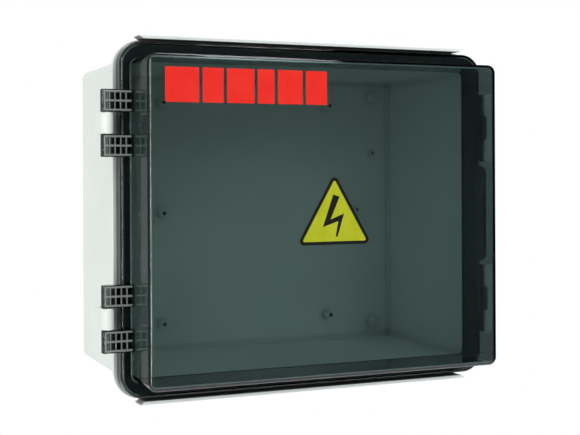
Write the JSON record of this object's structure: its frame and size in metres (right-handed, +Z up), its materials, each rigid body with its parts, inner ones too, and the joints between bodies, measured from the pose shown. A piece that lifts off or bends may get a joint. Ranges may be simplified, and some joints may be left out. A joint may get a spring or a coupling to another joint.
{
  "type": "dc combiner enclosure",
  "caption": "Wall-mounted DC combiner enclosure: deep light-grey moulded base, smoked clear door with a raised window, pinned side hinges, snap latches, door gasket and bossed back wall.",
  "frame": {"origin": "centre of the flat back (wall) face of the base", "axes": "+X towards the latches, +Y into the wall, +Z up; the door faces -Y"},
  "size_m": [0.427, 0.2407, 0.35],
  "materials": {
    "base_grey": "light grey moulded ABS, fine satin texture",
    "smoked_clear": "smoke-tinted clear polycarbonate, polished",
    "gasket_black": "black foamed rubber seal",
    "pin_steel": "plain stainless wire pin",
    "latch_grey": "light grey moulded plastic, satin",
    "cap_grey": "light grey moulded plastic, satin",
    "label_red": "printed film label",
    "label_yellow": "printed film label"
  },
  "bodies": {
    "base": {"base_shell": "base_grey", "hinge_pin_upper": "pin_steel", "hinge_pin_lower": "pin_steel", "latch_pin_upper": "pin_steel", "latch_pin_lower": "pin_steel", "wall_screw_cap_upper_left": "cap_grey", "wall_screw_cap_upper_right": "cap_grey", "wall_screw_cap_lower_left": "cap_grey", "wall_screw_cap_lower_right": "cap_grey"},
    "door": {"door_shell": "smoked_clear", "door_gasket": "gasket_black", "name_label": "label_red", "warning_label": "label_yellow"},
    "lever_upper": {"latch_lever_upper": "latch_grey"},
    "lever_lower": {"latch_lever_lower": "latch_grey"}
  },
  "joints": [
    {"name": "door_hinge", "type": "hinge", "parent": "base", "child": "door", "pos_m": [-0.208, -0.186, 0], "axis": [0, 0, -1], "range_deg": [0, 180]},
    {"name": "latch_upper", "type": "hinge", "parent": "base", "child": "lever_upper", "pos_m": [0.206, -0.1559, 0.091], "axis": [0, 0, 1], "range_deg": [0, 95]},
    {"name": "latch_lower", "type": "hinge", "parent": "base", "child": "lever_lower", "pos_m": [0.206, -0.1559, -0.091], "axis": [0, 0, 1], "range_deg": [0, 95]}
  ]
}
